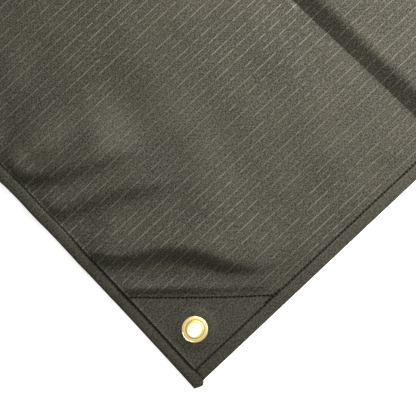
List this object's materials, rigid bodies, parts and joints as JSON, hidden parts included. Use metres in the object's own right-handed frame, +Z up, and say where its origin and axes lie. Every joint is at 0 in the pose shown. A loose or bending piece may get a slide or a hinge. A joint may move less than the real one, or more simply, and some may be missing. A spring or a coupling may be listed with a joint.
{
  "type": "folded canvas tarp",
  "caption": "Hemmed ripstop canvas tarp folded back and forth into a low pack, with a loose flap and corners with patches and brass eyelets.",
  "frame": {"origin": "on the ground, under the middle of the tarp as it lies", "axes": "+Z up; +Y along the folds; +X across the folds, from the loose flap to the pack's free end"},
  "size_m": [0.7236, 1.2044, 0.0169],
  "materials": {
    "ripstop_canvas": "matt proofed canvas with raised ribs",
    "brass": "bright stamped"
  },
  "bodies": {
    "root": {"tarp_sheet": "ripstop_canvas", "corner_patch_flap_front": "ripstop_canvas", "corner_patch_flap_back": "ripstop_canvas", "corner_patch_end_front": "ripstop_canvas", "corner_patch_end_back": "ripstop_canvas", "eyelet_flap_front": "brass", "eyelet_flap_back": "brass", "eyelet_end_front": "brass", "eyelet_end_back": "brass", "eyelet_washer_flap_front": "brass", "eyelet_washer_flap_back": "brass", "eyelet_washer_end_front": "brass", "eyelet_washer_end_back": "brass"}
  },
  "joints": []
}
